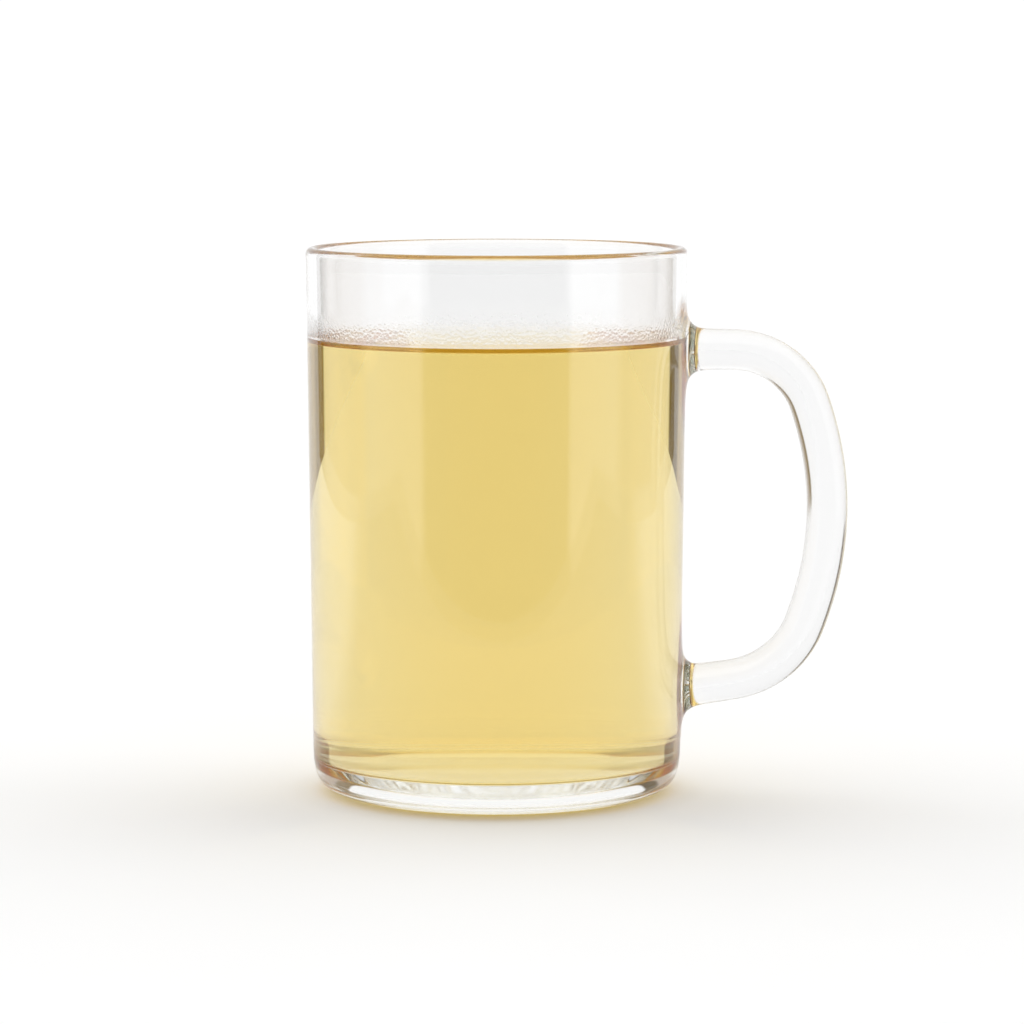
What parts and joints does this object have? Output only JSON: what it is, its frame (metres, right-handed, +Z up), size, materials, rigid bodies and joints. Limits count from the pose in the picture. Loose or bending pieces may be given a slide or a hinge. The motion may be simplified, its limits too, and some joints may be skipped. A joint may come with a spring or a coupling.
{
  "type": "glass cup of tea",
  "caption": "Clear glass mug with a rod handle, filled most of the way with pale golden tea. It stands on its flat foot.",
  "frame": {"origin": "middle of the foot, where the mug's axis meets what it stands on", "axes": "+Z up along the mug's axis, +X towards the handle, which lies in the XZ plane"},
  "size_m": [0.1142, 0.08, 0.1145],
  "materials": {
    "glass": "clear pressed soda-lime glass, fire polished, with a rounded lip",
    "tea": "clear pale golden tea"
  },
  "bodies": {
    "root": {"mug": "glass", "tea": "tea"}
  },
  "joints": []
}
